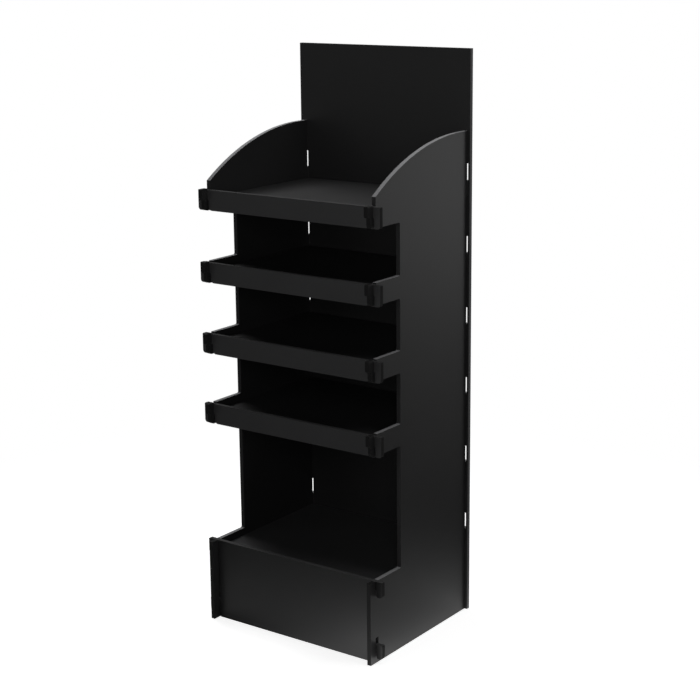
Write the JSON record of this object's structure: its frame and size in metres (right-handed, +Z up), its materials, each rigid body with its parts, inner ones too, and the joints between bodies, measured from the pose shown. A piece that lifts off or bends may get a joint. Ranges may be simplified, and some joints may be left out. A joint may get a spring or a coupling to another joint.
{
  "type": "cardboard display stand",
  "caption": "Free-standing floor display stand of slotted board, with a tall plain header, arched sides, lipped shelves on arms and a closed plinth.",
  "frame": {"origin": "centre of the base outline on the floor", "axes": "+X to the right across the front, +Y to the back panel, +Z up"},
  "size_m": [0.6, 0.4912, 1.6],
  "materials": {
    "panel_board": "black printed liner, satin, with dark cut edges",
    "shelf_board": "black printed liner, satin",
    "cleat_board": "black board set on edge, matt"
  },
  "bodies": {
    "root": {"back_panel": "panel_board", "plinth_front": "panel_board", "plinth_shelf": "shelf_board", "plinth_shelf_cleat_left": "cleat_board", "plinth_shelf_cleat_rear": "cleat_board", "plinth_shelf_cleat_right": "cleat_board", "shelf_1": "shelf_board", "shelf_1_cleat_left": "cleat_board", "shelf_1_cleat_rear": "cleat_board", "shelf_1_cleat_right": "cleat_board", "shelf_2": "shelf_board", "shelf_2_cleat_left": "cleat_board", "shelf_2_cleat_rear": "cleat_board", "shelf_2_cleat_right": "cleat_board", "shelf_3": "shelf_board", "shelf_3_cleat_left": "cleat_board", "shelf_3_cleat_rear": "cleat_board", "shelf_3_cleat_right": "cleat_board", "shelf_4": "shelf_board", "shelf_4_cleat_left": "cleat_board", "shelf_4_cleat_rear": "cleat_board", "shelf_4_cleat_right": "cleat_board", "shelf_lip_1": "panel_board", "shelf_lip_2": "panel_board", "shelf_lip_3": "panel_board", "shelf_lip_4": "panel_board", "side_panel_left": "panel_board", "side_panel_right": "panel_board"}
  },
  "joints": []
}
